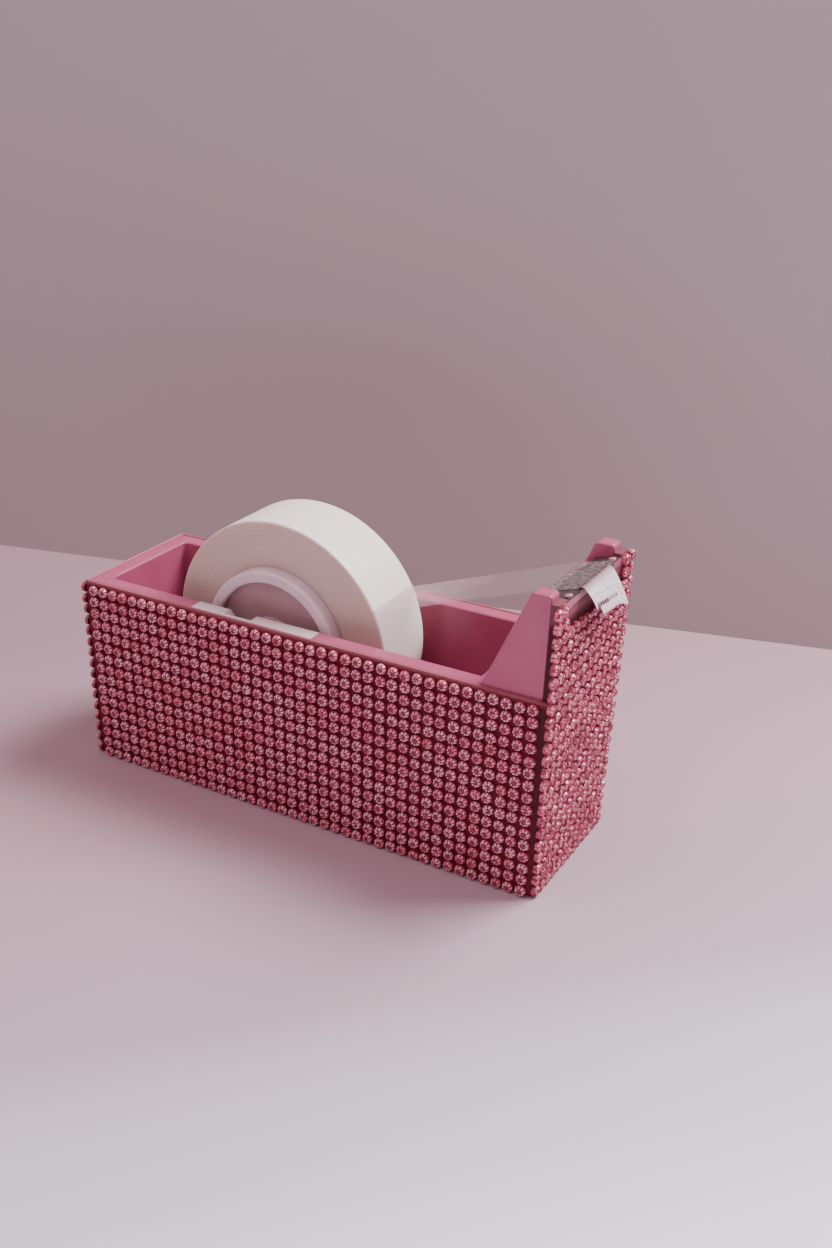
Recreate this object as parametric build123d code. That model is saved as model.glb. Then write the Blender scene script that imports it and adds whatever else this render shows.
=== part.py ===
from build123d import *
import os
from math import atan2, cos, degrees, hypot, radians, sin, tan

# Desk tape dispenser with rhinestone-covered walls, in millimetres.
# +X points at the cutter, +Y across the tape, +Z up. The origin is on the
# table, under the middle of the object's box.

# ---- Shell ----
LENGTH = 131.6          # rear face to front face at the rim
WIDTH = 38.5            # outside of the two long walls
RIM_Z = 52.1            # top of the tray walls
HORN_Z = 77.3           # top of the two horns beside the cutter
HORN_REAR_R = 1.7       # rounding of the horns' tips, seen from the side
HORN_FRONT_R = 0.9
POST_FOOT_R = 2.5       # rounding where the post rises from the rim
WALL = 4.2              # tray wall thickness
EDGE_R = 0.55           # rounding of the visible edges
CORNER_R = 1.5          # upright corners of the tray and of the ballast plate
LEAN = 2.2              # forward lean of the front face, degrees
STAND = 0.4             # height of the underside above the table
FLOOR_Z = 9.6           # top of the tray floor
FLOOR_THICK = 2.4
POST_WALL = 2.8
POST_BEND = 4.0         # the post's hollow starts to slope this far below the rim
POST_ROOF_Z = 67.5      # top of that hollow
GAP = 0.1               # play round parts that drop into place

# ---- Rhinestone panels ----
FILM = 0.8              # backing sheet of the sides and the rear
FRONT_BACK = 1.9        # thicker backing of the front
STONE = 1.4             # how far the stones stand out of their sheet
PANEL = FILM + STONE
STONE_FOOT_Z = 0.1      # bottom of the lowest stones
TOP_MARGIN = 0.7        # bare sheet above the stones
REAR_MARGIN = 1.1       # bare wall behind the stones of the long sides
FRONT_MARGIN = 0.05     # and in front of them, at the rim
SIDE_LEAN = 1.2         # lean of the last column of stones, degrees
NOTCH_Z = 73.0          # bottom of the front sheet's notch between the horns
NOTCH_MARGIN = 1.4      # bare sheet below that notch
HORN_FILM_MARGIN = 1.8  # horn above the front sheet
HORN_STONE_MARGIN = 2.0     # horn above the front stones

# ---- Tape ----
TAPE_WIDTH = 19.05
TAPE_R = 31.3           # wound tape, outside
ROLL_EDGE_R = 0.4
TAPE_SHEET = 0.15       # free tape, drawn thicker than the real 0.06
PEEL_ANGLE = 26.0       # where the tape leaves the roll, above horizontal
PEEL_GAP = 0.12         # between the free tape and the turning roll
DRIFT = 1.6             # the free tape lies this far off centre at the cutter
TAIL_REACH = 8.2        # front of the tape tail, ahead of the shell's front face
TAIL_R = 14.0           # curve of the tail
TAIL_CENTRE_Z = 65.25
TAIL_FAR_Y = 7.3        # torn +Y edge of the tail
TAIL_START = 48.3       # fold over the teeth, degrees up the curve
TAIL_END = 7.0

# ---- Hub and axle ----
CORE_R = 15.0           # tape core, outside
CORE_GAP = 0.05         # radial play between core and hub
HUB_R = 12.65           # hub drum
DRUM_WALL = 1.6
WEB_Y = 4.0             # inner face of the web in each hub half
WEB_THICK = 1.4
HUB_RIBS = 6            # on each web
RIB_DEPTH = 2.4
RIB_THICK = 1.4
FLANGE_R = 19.4         # hub flange, outside the tape
FLANGE_THICK = 1.0
FLANGE_EDGE_R = 0.7
CAP_R = 16.35           # disc set into the flange
HUB_Y = 13.4            # outer faces of the hub, from the middle plane
CAP_Y = 11.9            # outer faces of the discs
COLLAR_WALL = 1.6       # low collar round the boss
COLLAR_RISE = 0.7
BOSS_OUT_R = 5.4        # boss round the axle
BOSS_SINK = 0.8         # end of the boss, inside the outer face
PIN_R = 3.25            # axle
PIN_END_GAP = 0.15      # at each end of the axle
PIN_CHAMFER = 0.5
PIN_COLLAR_R = 4.6      # collar at the axle's middle, held between the hub halves
PIN_COLLAR_HALF = 1.0
RUN_GAP = 0.05          # radial running clearance

# ---- Bearing inserts ----
INSERT_Z0 = 33.0
INSERT_GAP = 0.04
INSERT_EDGE_R = 0.4
TONGUE = 1.2            # side tongues that snap into blind grooves in the wall
TONGUE_THICK = 1.5
TONGUE_DROP = 7.0       # top of the tongues, below the rim
SLOT_LIP = 1.1          # insert wall left outside the blind slot

# ---- Cutter ----
BLADE_THICK = 0.5
BLADE_PLAY = 0.15       # between the cutter and each horn
TEETH = 15
TOOTH_PITCH = 1.2
TOOTH_DEPTH = 0.9
CORNER_BACK = 0.35      # the plain front corners slope back this far
BLADE_PIN_INSET = 2.85  # pins, from each horn
BLADE_PIN_ALONG = 5.9   # and from the cutter's rear edge
BLADE_PIN_R = 0.5
BLADE_PIN_LENGTH = 1.2
PIN_HOLE_R = 0.55
PIN_HOLE_DEPTH = 1.3
PIN_HEAD_R = 0.95
PIN_HEAD_THICK = 0.5
LOCATING_INSET = 1.5    # small holes beside the pins, from each horn
LOCATING_R = 0.5

# ---- Underside ----
COVER_THICK = 2.0
BOSS_R = 3.4            # screw bosses
BOSS_TOP_GAP = 1.2      # floor left above each pilot hole
PILOT_R = 1.25
SCREW_HEAD_R = 2.6
SCREW_HEAD_THICK = 1.0
SCREW_END_GAP = 0.5     # pilot hole past the screw's end
SCREW_CLEAR = 0.2       # radial play of shank and head in the cover
CROSS_LENGTH = 2.6      # cross recess
CROSS_WIDTH = 0.6
CROSS_DEPTH = 0.6
FOOT_R = 4.0
FOOT_THICK = 1.5
FOOT_EDGE_R = 0.3
BALLAST_GAP = 0.4       # between the steel and the walls
POST_BALLAST_RISE = 8.0     # top of the post's steel, above the rim

# ---- Places worked out from them ----
HALF_BOX = (PANEL + LENGTH + TAIL_REACH) / 2
X_REAR = PANEL - HALF_BOX
X_FRONT = X_REAR + LENGTH
Y_OUT = WIDTH / 2
Y_IN = Y_OUT - WALL
Y_MID = (Y_IN + Y_OUT) / 2
UNDER_FLOOR = FLOOR_Z - FLOOR_THICK
COVER_Z = STAND + COVER_THICK
TAPE_HALF = TAPE_WIDTH / 2
FLANGE_Y = TAPE_HALF + GAP

AXLE_X = X_REAR + 53.8
AXLE_Z = 44.0
POST_X = X_REAR + 114.5         # rear wall of the post, inside the tray
HORN_FOOT = (X_REAR + 116.1, RIM_Z)
HORN_HEAD = (X_REAR + 127.7, HORN_Z)
INSERT_X0 = X_REAR + 33.7
INSERT_X1 = X_REAR + 70.2
SLOT_MOUTH_X = X_REAR + 47.3    # middle of the slot at the rim

BLADE_REAR = (X_REAR + 127.6, 73.3)     # rear edge of the blade's top face
BLADE_TIP = (X_REAR + 135.1, 75.45)     # tips of the teeth, top face
BLADE_TILT = degrees(atan2(BLADE_TIP[1] - BLADE_REAR[1], BLADE_TIP[0] - BLADE_REAR[0]))
BLADE_LENGTH = hypot(BLADE_TIP[0] - BLADE_REAR[0], BLADE_TIP[1] - BLADE_REAR[1])
BLADE_HALF = Y_IN - BLADE_PLAY
BLADE_PIN_Y = Y_IN - BLADE_PIN_INSET
LOCATING_Y = Y_IN - LOCATING_INSET

SCREW_SPOTS = [(x, y) for x in (X_REAR + 9.5, X_REAR + 109.5) for y in (-10.0, 10.0)]
FOOT_SPOTS = [(x, y) for x in (X_REAR + 20.0, X_REAR + 119.0) for y in (-9.5, 9.5)]


def front_x(z):
    """X of the leaning front face at height z."""
    return X_FRONT + (z - RIM_Z) * tan(radians(LEAN))


def block(x0, x1, y0, y1, z0, z1):
    """Axis-aligned box between two corners."""
    return Pos((x0 + x1) / 2, (y0 + y1) / 2, (z0 + z1) / 2) * Box(x1 - x0, y1 - y0, z1 - z0)


def side_plate(points, y0, y1):
    """Outline in the XZ plane, given thickness from y0 to y1."""
    outline = Plane.XZ * Polygon(*points, align=None)
    return Pos(0, y1, 0) * extrude(outline, amount=y1 - y0, dir=(0, -1, 0))


def mirrored(solid):
    """The same solid on the other side of the middle plane."""
    return mirror(solid, about=Plane.XZ)


def y_tube(radius, bore, y0, y1, x=AXLE_X, z=AXLE_Z):
    """Ring about an axis along Y."""
    ring = Circle(radius) - Circle(bore) if bore else Circle(radius)
    return Pos(x, y1, z) * extrude(Plane.XZ * ring, amount=y1 - y0, dir=(0, -1, 0))


def upright(radius, x, y, z0, z1):
    """Cylinder about a vertical axis."""
    return Pos(x, y, (z0 + z1) / 2) * Cylinder(radius, z1 - z0)


def blade_plane():
    """Plane of the cutter's top face, with X running up to the teeth."""
    tilt = radians(BLADE_TILT)
    origin = (BLADE_REAR[0], 0, BLADE_REAR[1])
    return Plane(origin=origin, x_dir=(cos(tilt), 0, sin(tilt)), z_dir=(-sin(tilt), 0, cos(tilt)))


def blade_drill(radius, y, z0, z1):
    """Cylinder square to the cutter, between two heights over its top face."""
    return blade_plane() * Pos(BLADE_PIN_ALONG, y, (z0 + z1) / 2) * Cylinder(radius, z1 - z0)


def slope_x(z, inset=0.0):
    """X of the post's sloping back at height z."""
    share = (z - HORN_FOOT[1]) / (HORN_HEAD[1] - HORN_FOOT[1])
    return HORN_FOOT[0] + share * (HORN_HEAD[0] - HORN_FOOT[0]) + inset


# ---- Shell ----
def shell_outline():
    """Side view of the shell: tray walls, sloping post back and rounded horns."""
    points = [
        (X_REAR, STAND),
        (X_REAR, RIM_Z),
        HORN_FOOT,
        HORN_HEAD,
        (front_x(HORN_Z), HORN_Z),
        (front_x(STAND), STAND),
    ]
    outline = Polygon(*points, align=None)
    corners = outline.vertices().sort_by(Axis.Y)
    rear, front = corners[-2:].sort_by(Axis.X)
    outline = fillet(rear, radius=HORN_REAR_R)
    front = outline.vertices().sort_by_distance((front.X, front.Y, 0))[0]
    outline = fillet(front, radius=HORN_FRONT_R)
    foot = outline.vertices().sort_by_distance((HORN_FOOT[0], HORN_FOOT[1], 0))[0]
    return Plane.XZ * fillet(foot, radius=POST_FOOT_R)


def seat_cut():
    """Space above the cutter's seat, between the horns."""
    height = HORN_Z - RIM_Z
    reach = 2 * (X_FRONT - POST_X)
    seat = blade_plane().offset(-BLADE_THICK)
    return seat * Pos(0, 0, height / 2) * Box(2 * reach, 2 * Y_IN, height)


def post_hollow():
    """Space inside the post, open at the underside."""
    points = [
        (POST_X + POST_WALL, STAND),
        (POST_X + POST_WALL, RIM_Z - POST_BEND),
        (slope_x(POST_ROOF_Z, POST_WALL), POST_ROOF_Z),
        (front_x(POST_ROOF_Z) - POST_WALL, POST_ROOF_Z),
        (front_x(STAND) - WALL, STAND),
    ]
    return side_plate(points, -Y_IN, Y_IN)


def insert_pocket():
    """Gap in the +Y wall that a bearing insert fills, with a blind groove at each end."""
    gap = block(INSERT_X0, INSERT_X1, Y_IN, Y_OUT, INSERT_Z0, RIM_Z)
    y0 = Y_MID - TONGUE_THICK / 2
    y1 = Y_MID + TONGUE_THICK / 2
    return gap + block(INSERT_X0 - TONGUE, INSERT_X1 + TONGUE, y0, y1, INSERT_Z0, RIM_Z - TONGUE_DROP)


def shell_block():
    """Solid block in the shell's outline, its upper side edges and rear rim rounded."""
    solid = extrude(shell_outline(), amount=Y_OUT, both=True)
    above_rim = [e for e in solid.edges() if e.center().Z > RIM_Z - 0.3]
    sides = [e for e in above_rim if abs(e.center().Y) > Y_OUT - 0.01]
    sides = [e for e in sides if e.center().X < front_x(e.center().Z) - 0.05]
    rear = min(above_rim, key=lambda e: e.center().X)
    return fillet(sides + [rear], radius=EDGE_R)


def cut_tray(shell):
    """Open tray behind the post, its rim rounded on the inside."""
    tray = block(X_REAR + WALL, POST_X, -Y_IN, Y_IN, FLOOR_Z, 2 * RIM_Z)
    corners = tray.edges().filter_by(Axis.Z).group_by(Axis.X)[0]
    shell -= fillet(corners, radius=CORNER_R)
    level = [e for e in shell.edges() if abs(e.center().Z - RIM_Z) < 0.01]
    inner = [e for e in level if abs(e.center().Y) < Y_IN + 0.01 and e.center().X < POST_X - 1]
    return fillet([e for e in inner if e.center().X > X_REAR + WALL - 0.1], radius=EDGE_R)


def cut_seat(shell):
    """Seat for the cutter between the horns, with a lip over the front backing."""
    shell += leaning_sheet(-Y_IN, Y_IN, NOTCH_Z + GAP, HORN_Z, 0, FRONT_BACK)
    shell -= seat_cut()
    inner = [e for e in shell.edges() if abs(abs(e.center().Y) - Y_IN) < 0.01]
    horns = [e for e in inner if e.center().Z > BLADE_REAR[1] + 1.2 and e.length > 0.5]
    return fillet([e for e in horns if e.center().X < front_x(e.center().Z) + 0.5], radius=EDGE_R)


def body_shell():
    """One moulding: open tray in front of a hollow post with two horns."""
    shell = cut_seat(cut_tray(shell_block()))
    shell -= block(X_REAR + WALL, POST_X + POST_WALL + 1, -Y_IN, Y_IN, STAND, UNDER_FLOOR)
    shell -= post_hollow()
    for x, y in SCREW_SPOTS:
        shell += upright(BOSS_R, x, y, COVER_Z, FLOOR_Z - FLOOR_THICK / 2)
        shell -= upright(PILOT_R, x, y, COVER_Z, FLOOR_Z - BOSS_TOP_GAP)
    shell -= insert_pocket()
    shell -= mirrored(insert_pocket())
    for side in (-1, 1):
        shell -= blade_drill(PIN_HOLE_R, side * BLADE_PIN_Y, -PIN_HOLE_DEPTH, 0)
        shell -= blade_drill(LOCATING_R, side * LOCATING_Y, -PIN_HOLE_DEPTH, 0)
    return shell


# ---- Underside ----
def base_cover():
    """Flat plate that closes the hollow, with recesses for feet and screw heads."""
    x1 = front_x(STAND) - WALL - GAP
    cover = block(X_REAR + WALL + GAP, x1, -Y_IN + GAP, Y_IN - GAP, STAND, COVER_Z)
    for x, y in FOOT_SPOTS:
        cover -= upright(FOOT_R + GAP, x, y, STAND, FOOT_THICK)
    for x, y in SCREW_SPOTS:
        cover -= upright(SCREW_HEAD_R + SCREW_CLEAR, x, y, STAND, STAND + GAP + SCREW_HEAD_THICK)
        cover -= upright(PILOT_R + SCREW_CLEAR, x, y, STAND, COVER_Z)
    return cover


def cover_screws():
    """Four pan-head self-tapping screws, a cross recess in each head."""
    z0 = STAND + GAP
    z1 = z0 + SCREW_HEAD_THICK
    screws = []
    for x, y in SCREW_SPOTS:
        screw = upright(SCREW_HEAD_R, x, y, z0, z1)
        screw += upright(PILOT_R - RUN_GAP, x, y, z0, FLOOR_Z - BOSS_TOP_GAP - SCREW_END_GAP)
        for angle in (0, 90):
            slot = Box(CROSS_LENGTH, CROSS_WIDTH, 2 * CROSS_DEPTH)
            screw -= Pos(x, y, z0) * Rot(0, 0, angle) * slot
        screws.append(screw)
    return screws


def rubber_feet():
    """Four round feet, half sunk in the cover, that lift the shell off the table."""
    feet = []
    for x, y in FOOT_SPOTS:
        foot = upright(FOOT_R, x, y, 0, FOOT_THICK)
        feet.append(fillet(foot.edges().sort_by(Axis.Z)[0], radius=FOOT_EDGE_R))
    return feet


def base_ballast():
    """Steel plate between the screw bosses, held up by the cover."""
    x0 = SCREW_SPOTS[0][0] + BOSS_R + 1.5
    x1 = SCREW_SPOTS[-1][0] - BOSS_R - 1.5
    half = Y_IN - BALLAST_GAP
    plate = block(x0, x1, -half, half, COVER_Z, UNDER_FLOOR - GAP)
    return fillet(plate.edges().filter_by(Axis.Z), radius=CORNER_R)


def post_ballast():
    """Steel block standing on the cover inside the post."""
    x0 = POST_X + POST_WALL + BALLAST_GAP
    top = RIM_Z + POST_BALLAST_RISE
    inset = WALL + BALLAST_GAP
    points = [
        (x0, COVER_Z),
        (x0, RIM_Z - POST_BEND),
        (slope_x(top, POST_WALL + 2 * BALLAST_GAP), top),
        (front_x(top) - inset, top),
        (front_x(COVER_Z) - inset, COVER_Z),
    ]
    half = Y_IN - BALLAST_GAP
    return side_plate(points, -half, half)


# ---- Bearing inserts, axle and hub ----
def slot_direction():
    """Unit vector from the axle's seat up to the slot's mouth."""
    dx = SLOT_MOUTH_X - AXLE_X
    dz = RIM_Z - AXLE_Z
    reach = hypot(dx, dz)
    return dx / reach, dz / reach


def slot_cut():
    """Round-bottomed slot that slants up and back from the axle's seat."""
    dx, dz = slot_direction()
    half = PIN_R + RUN_GAP
    reach = 2 * (RIM_Z - AXLE_Z) / dz
    y0 = Y_IN - 1
    y1 = Y_OUT - SLOT_LIP
    seat = y_tube(half, 0, y0, y1)
    points = [
        (AXLE_X + half * dz, AXLE_Z - half * dx),
        (AXLE_X - half * dz, AXLE_Z + half * dx),
        (AXLE_X - half * dz + reach * dx, AXLE_Z + half * dx + reach * dz),
        (AXLE_X + half * dz + reach * dx, AXLE_Z - half * dx + reach * dz),
    ]
    return seat + side_plate(points, y0, y1)


def bearing_insert_far():
    """Plastic block that fills the gap in the wall and carries one axle end."""
    gap = INSERT_GAP
    y0 = Y_MID - TONGUE_THICK / 2 + gap
    y1 = Y_MID + TONGUE_THICK / 2 - gap
    z0 = INSERT_Z0 + gap
    z1 = RIM_Z - TONGUE_DROP - gap
    body = block(INSERT_X0 + gap, INSERT_X1 - gap, Y_IN, Y_OUT, z0, RIM_Z)
    body = fillet(body.edges().filter_by(Axis.X).group_by(Axis.Z)[-1], radius=INSERT_EDGE_R)
    tongues = block(INSERT_X0 - TONGUE + gap, INSERT_X1 + TONGUE - gap, y0, y1, z0, z1)
    return body + tongues - slot_cut()


def axle_pin():
    """Plain axle with a collar at its middle, captured between the hub halves."""
    half = Y_OUT - SLOT_LIP - PIN_END_GAP
    pin = y_tube(PIN_R, 0, -half, half)
    pin = chamfer(pin.edges().filter_by(GeomType.CIRCLE), length=PIN_CHAMFER)
    return pin + y_tube(PIN_COLLAR_R, 0, -PIN_COLLAR_HALF, PIN_COLLAR_HALF)


def hub_ribs():
    """Ribs on the inner side of the +Y web, like spokes."""
    length = HUB_R - DRUM_WALL - PIN_R
    y = WEB_Y + GAP - RIB_DEPTH / 2
    rib = Pos(PIN_R + 0.75 + length / 2, 0, 0) * Box(length, RIB_DEPTH, RIB_THICK)
    return [Pos(AXLE_X, y, AXLE_Z) * Rot(0, turn * 360 / HUB_RIBS, 0) * rib for turn in range(HUB_RIBS)]


def hub_half_far():
    """Half of the hub: drum inside the core, web, boss, and a rimmed flange outside."""
    drum_bore = HUB_R - DRUM_WALL
    half = y_tube(HUB_R, drum_bore, 0, FLANGE_Y)
    half += y_tube(drum_bore + 0.2, PIN_R + 1, WEB_Y, WEB_Y + WEB_THICK)
    half += y_tube(FLANGE_R, drum_bore + 0.2, FLANGE_Y, FLANGE_Y + FLANGE_THICK)
    rim = y_tube(FLANGE_R, CAP_R + RUN_GAP, FLANGE_Y, HUB_Y)
    half += fillet(rim.edges().filter_by(GeomType.CIRCLE).group_by(Axis.Y)[-1], radius=FLANGE_EDGE_R)
    half += y_tube(BOSS_OUT_R, PIN_R + RUN_GAP, 0, HUB_Y - BOSS_SINK)
    for rib in hub_ribs():
        half += rib
    collar_room = y_tube(PIN_COLLAR_R + GAP, 0, -PIN_COLLAR_HALF - GAP, PIN_COLLAR_HALF + GAP)
    return half - collar_room - y_tube(PIN_R + RUN_GAP, 0, -1, HUB_Y)


def hub_cap_far():
    """Disc that closes the flange's recess, with a low collar round the boss."""
    hole = BOSS_OUT_R + RUN_GAP
    cap = y_tube(CAP_R, hole, FLANGE_Y + FLANGE_THICK, CAP_Y)
    collar = y_tube(hole + COLLAR_WALL, hole, CAP_Y - 0.3, CAP_Y + COLLAR_RISE)
    outer = [e for e in collar.edges().filter_by(GeomType.CIRCLE) if e.radius > hole + 1]
    return cap + fillet(ShapeList(outer).sort_by(Axis.Y)[-1], radius=COLLAR_RISE / 2)


def tape_core():
    """Moulded core that the tape is wound on."""
    return y_tube(CORE_R, HUB_R + CORE_GAP, -TAPE_HALF, TAPE_HALF)


def tape_roll():
    """The wound tape."""
    roll = y_tube(TAPE_R, CORE_R + 0.02, -TAPE_HALF, TAPE_HALF)
    outer = [e for e in roll.edges().filter_by(GeomType.CIRCLE) if e.radius > TAPE_R - 0.1]
    return fillet(outer, radius=ROLL_EDGE_R)


# ---- Free tape and cutter ----
def blade_point(along, lift):
    """X and Z of a point on the cutter's top face, lifted off it."""
    tilt = radians(BLADE_TILT)
    x = BLADE_REAR[0] + along * cos(tilt) - lift * sin(tilt)
    z = BLADE_REAR[1] + along * sin(tilt) + lift * cos(tilt)
    return x, z


def tape_plan(x0, x1, x2):
    """Plan view of the free tape: straight at x0, off centre from x1 on to x2."""
    points = [
        (x0, -TAPE_HALF),
        (x1, -TAPE_HALF + DRIFT),
        (x2, -TAPE_HALF + DRIFT),
        (x2, TAPE_HALF + DRIFT),
        (x1, TAPE_HALF + DRIFT),
        (x0, TAPE_HALF),
    ]
    return extrude(Polygon(*points, align=None), amount=2 * HORN_Z)


def tape_strip():
    """Tape from the roll to the cutter, then flat on the cutter to its teeth."""
    lift = 0.03
    peel = radians(PEEL_ANGLE)
    reach = TAPE_R + PEEL_GAP + TAPE_SHEET
    start = (AXLE_X + reach * cos(peel), AXLE_Z + reach * sin(peel))
    bend = blade_point(0, lift)
    end = blade_point(BLADE_LENGTH - TOOTH_DEPTH, lift)
    bend_top = blade_point(0, lift + TAPE_SHEET)
    end_top = blade_point(BLADE_LENGTH - TOOTH_DEPTH, lift + TAPE_SHEET)
    start_top = (start[0] - 0.02, start[1] + TAPE_SHEET)
    sheet = side_plate([start, bend, end, end_top, bend_top, start_top], -TAPE_HALF, TAPE_HALF + DRIFT)
    return sheet & tape_plan(start_top[0], bend[0], end[0])


def tape_tail():
    """Short end of tape that folds over the teeth and hangs down in front of them."""
    centre = (HALF_BOX - TAIL_R * cos(radians(TAIL_END)), TAIL_CENTRE_Z)
    inside = TAIL_R - TAPE_SHEET
    outer = CenterArc((0, 0), TAIL_R, TAIL_END, TAIL_START - TAIL_END)
    inner = CenterArc((0, 0), inside, TAIL_END, TAIL_START - TAIL_END)
    ends = [Line(outer @ 0, inner @ 0), Line(outer @ 1, inner @ 1)]
    face = Plane.XZ * Pos(centre[0], centre[1]) * make_face([outer, inner] + ends)
    near = DRIFT - TAPE_HALF
    width = TAIL_FAR_Y - near
    hanging = Pos(0, TAIL_FAR_Y, 0) * extrude(face, amount=width, dir=(0, -1, 0))
    start = radians(TAIL_START)
    fold = (centre[0] + TAIL_R * cos(start), centre[1] + TAIL_R * sin(start))
    fold_in = (centre[0] + inside * cos(start), centre[1] + inside * sin(start))
    along = BLADE_LENGTH - TOOTH_DEPTH + 0.2
    low = blade_point(along, 0.05)
    top = blade_point(along, 0.05 + TAPE_SHEET)
    return side_plate([top, fold, fold_in, low], near, TAIL_FAR_Y) + hanging


def cutter_blade():
    """Steel plate across the post, with teeth along the middle of its front edge."""
    root = BLADE_LENGTH - TOOTH_DEPTH
    corner = root - CORNER_BACK
    first = TEETH * TOOTH_PITCH / 2
    points = [(0, -BLADE_HALF), (0, BLADE_HALF), (corner, BLADE_HALF)]
    for tooth in range(TEETH):
        y = first - tooth * TOOTH_PITCH
        points.append((root, y))
        points.append((BLADE_LENGTH, y - TOOTH_PITCH / 2))
    points += [(root, -first), (corner, -BLADE_HALF)]
    plate = blade_plane() * extrude(Polygon(*points, align=None), amount=BLADE_THICK, dir=(0, 0, -1))
    for side in (-1, 1):
        plate -= blade_drill(PIN_HOLE_R, side * BLADE_PIN_Y, -1, 1)
        plate -= blade_drill(LOCATING_R, side * LOCATING_Y, -1, 1)
    return plate


def blade_pins():
    """Two dome-headed pins that hold the cutter down on its seat."""
    pins = []
    for y in (-BLADE_PIN_Y, BLADE_PIN_Y):
        head = Cylinder(PIN_HEAD_R, PIN_HEAD_THICK)
        head = Pos(0, 0, PIN_HEAD_THICK / 2) * fillet(head.edges().sort_by(Axis.Z)[-1], radius=0.4)
        shank = Pos(0, 0, -BLADE_PIN_LENGTH / 2) * Cylinder(BLADE_PIN_R, BLADE_PIN_LENGTH)
        pins.append(blade_plane() * Pos(BLADE_PIN_ALONG, y, 0) * (head + shank))
    return pins


# ---- Rhinestone panels ----
def leaning_sheet(y0, y1, z0, z1, out0, out1):
    """Sheet parallel to the front face, between two distances in front of it."""
    points = [
        (front_x(z0) + out0, z0),
        (front_x(z1) + out0, z1),
        (front_x(z1) + out1, z1),
        (front_x(z0) + out1, z0),
    ]
    return side_plate(points, y0, y1)


def notch(z0):
    """Space between the horns in front of the post, above z0."""
    return block(X_FRONT - 5, X_FRONT + 9, -Y_IN, Y_IN, z0, HORN_Z)


def side_film():
    """Backing sheet over the whole +Y wall and the edges of the end sheets."""
    points = [
        (X_REAR - FILM, STAND),
        (X_REAR - FILM, RIM_Z),
        (front_x(RIM_Z) + FRONT_BACK, RIM_Z),
        (front_x(STAND) + FRONT_BACK, STAND),
    ]
    return side_plate(points, Y_OUT, Y_OUT + FILM)


def side_stones():
    """Rhinestone field of the +Y wall."""
    x0 = X_REAR + REAR_MARGIN
    x1 = X_FRONT - FRONT_MARGIN
    top = RIM_Z - TOP_MARGIN
    setback = (top - STONE_FOOT_Z) * tan(radians(SIDE_LEAN))
    points = [(x0, STONE_FOOT_Z), (x0, top), (x1, top), (x1 - setback, STONE_FOOT_Z)]
    return side_plate(points, Y_OUT + FILM, Y_OUT + PANEL)


def rear_panel_film():
    """Backing sheet of the rear wall."""
    return block(X_REAR - FILM, X_REAR, -Y_OUT, Y_OUT, STAND, RIM_Z)


def rear_stones():
    """Rhinestone field of the rear wall."""
    edge = Y_OUT + FILM
    return block(X_REAR - PANEL, X_REAR - FILM, -edge, edge, STONE_FOOT_Z, RIM_Z - TOP_MARGIN)


def front_panel_film():
    """Backing sheet of the front face, notched between the horns."""
    sheet = leaning_sheet(-Y_OUT, Y_OUT, STAND, HORN_Z - HORN_FILM_MARGIN, 0, FRONT_BACK)
    return sheet - notch(NOTCH_Z)


def front_stones():
    """Rhinestone field of the front face, lower between the horns."""
    edge = Y_OUT + FILM
    top = HORN_Z - HORN_STONE_MARGIN
    sheet = leaning_sheet(-edge, edge, STONE_FOOT_Z, top, FRONT_BACK, FRONT_BACK + STONE)
    return sheet - notch(NOTCH_Z - NOTCH_MARGIN)


SUB_PARTS = {
    "body_shell": body_shell(),
    "base_cover": base_cover(),
    "base_ballast": base_ballast(),
    "post_ballast": post_ballast(),
    "cover_screws": cover_screws(),
    "rubber_feet": rubber_feet(),
    "bearing_insert_near": mirrored(bearing_insert_far()),
    "bearing_insert_far": bearing_insert_far(),
    "axle_pin": axle_pin(),
    "hub_half_near": mirrored(hub_half_far()),
    "hub_half_far": hub_half_far(),
    "hub_cap_near": mirrored(hub_cap_far()),
    "hub_cap_far": hub_cap_far(),
    "tape_core": tape_core(),
    "tape_roll": tape_roll(),
    "tape_strip": tape_strip(),
    "tape_tail": tape_tail(),
    "cutter_blade": cutter_blade(),
    "blade_pins": blade_pins(),
    "near_panel_film": mirrored(side_film()),
    "far_panel_film": side_film(),
    "front_panel_film": front_panel_film(),
    "rear_panel_film": rear_panel_film(),
    "near_stones": mirrored(side_stones()),
    "far_stones": side_stones(),
    "front_stones": front_stones(),
    "rear_stones": rear_stones(),
}

os.makedirs("parts", exist_ok=True)
for name, shape in SUB_PARTS.items():
    solid = Compound(children=shape) if isinstance(shape, list) else shape
    export_step(solid, f"parts/{name}.step")
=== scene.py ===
import math
import random

import bpy
from mathutils import Matrix, Vector, noise


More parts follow.
